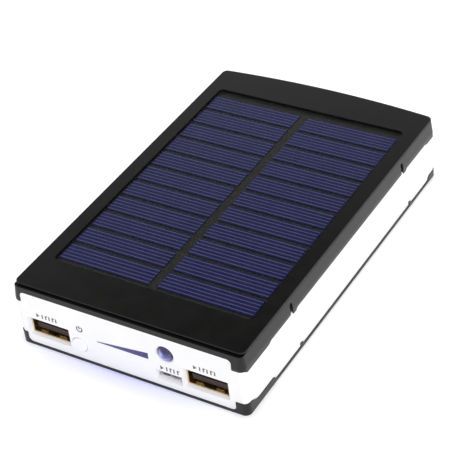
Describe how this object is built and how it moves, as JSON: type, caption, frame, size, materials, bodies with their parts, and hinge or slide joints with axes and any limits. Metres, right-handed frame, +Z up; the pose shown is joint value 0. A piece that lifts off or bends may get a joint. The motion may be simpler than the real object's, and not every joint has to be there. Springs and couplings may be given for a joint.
{
  "type": "solar phone charger",
  "caption": "Slim box-shaped power bank with a solar panel on top, a white mid frame between black covers, charging sockets, a torch lamp and a power button at one end.",
  "frame": {"origin": "on the underside, at the middle of the whole outline", "axes": "+X across the case, to the right when facing the port wall; +Y from the port wall to the bowed far end; +Z up through the solar panel"},
  "size_m": [0.075, 0.1216, 0.0214],
  "materials": {
    "cover": "black moulded plastic with a fine satin texture",
    "frame": "white moulded plastic, semi-gloss",
    "panel_backing": "dark epoxy-glass laminate",
    "tape": "black double-sided foam tape",
    "wafer": "blue-violet silicon wafer with printed silver fingers",
    "laminate": "clear glossy laminate",
    "cell_sleeve": "shrink-wrapped steel can, plain sleeve",
    "cell_metal": "nickel-plated steel",
    "insulating_paper": "fish paper",
    "nickel": "spot-welded nickel strip",
    "foam": "closed-cell foam",
    "board": "epoxy-glass board with green solder mask",
    "screw": "zinc-plated steel",
    "socket_shell": "tin-plated steel",
    "socket_insulator": "black glass-filled nylon",
    "contact": "gold-flashed brass",
    "switch_case": "black nylon",
    "torch_lens": "clear moulded epoxy lamp",
    "lead": "tinned steel lead",
    "light_guide": "translucent blue-tinted acrylic",
    "lamp_chip": "moulded lamp chip",
    "coil": "ferrite power coil",
    "chip": "black moulded chip package",
    "capacitor": "moulded tantalum capacitor",
    "wire_red": "red silicone-insulated wire",
    "wire_black": "black silicone-insulated wire"
  },
  "bodies": {
    "charger": {"top_cover": "cover", "bottom_cover": "cover", "mid_frame": "frame", "solar_backing": "panel_backing", "solar_tape": "tape", "solar_wafers": "wafer", "solar_laminate": "laminate", "battery_cell_1": "cell_sleeve", "battery_cell_2": "cell_sleeve", "battery_cell_3": "cell_sleeve", "battery_cell_4": "cell_sleeve", "battery_cell_5": "cell_sleeve", "cell_terminals": "cell_metal", "cell_insulator_rings": "insulating_paper", "insulating_sheet_left": "insulating_paper", "insulating_sheet_right": "insulating_paper", "positive_strip": "nickel", "negative_strip": "nickel", "battery_foam": "foam", "main_board": "board", "board_screws": "screw", "usb_shell_left": "socket_shell", "usb_shell_right": "socket_shell", "micro_socket_shell": "socket_shell", "usb_insulator_left": "socket_insulator", "usb_insulator_right": "socket_insulator", "micro_socket_tongue": "socket_insulator", "usb_contacts_left": "contact", "usb_contacts_right": "contact", "switch_body": "switch_case", "torch_lamp": "torch_lens", "torch_legs": "lead", "level_light_guide": "light_guide", "level_lamps": "lamp_chip", "power_coil": "coil", "control_chips": "chip", "solar_diode": "chip", "capacitors": "capacitor", "battery_wire_positive": "wire_red", "solar_wire_positive": "wire_red", "battery_wire_negative": "wire_black", "solar_wire_negative": "wire_black"},
    "button": {"power_button": "frame", "switch_plunger": "switch_case"}
  },
  "joints": [
    {"name": "button_press", "type": "slide", "parent": "charger", "child": "button", "axis": [0, 1, 0], "range_m": [0, 0.00035], "stiffness_N_per_m": 1500, "springref_m": -0.0006}
  ]
}
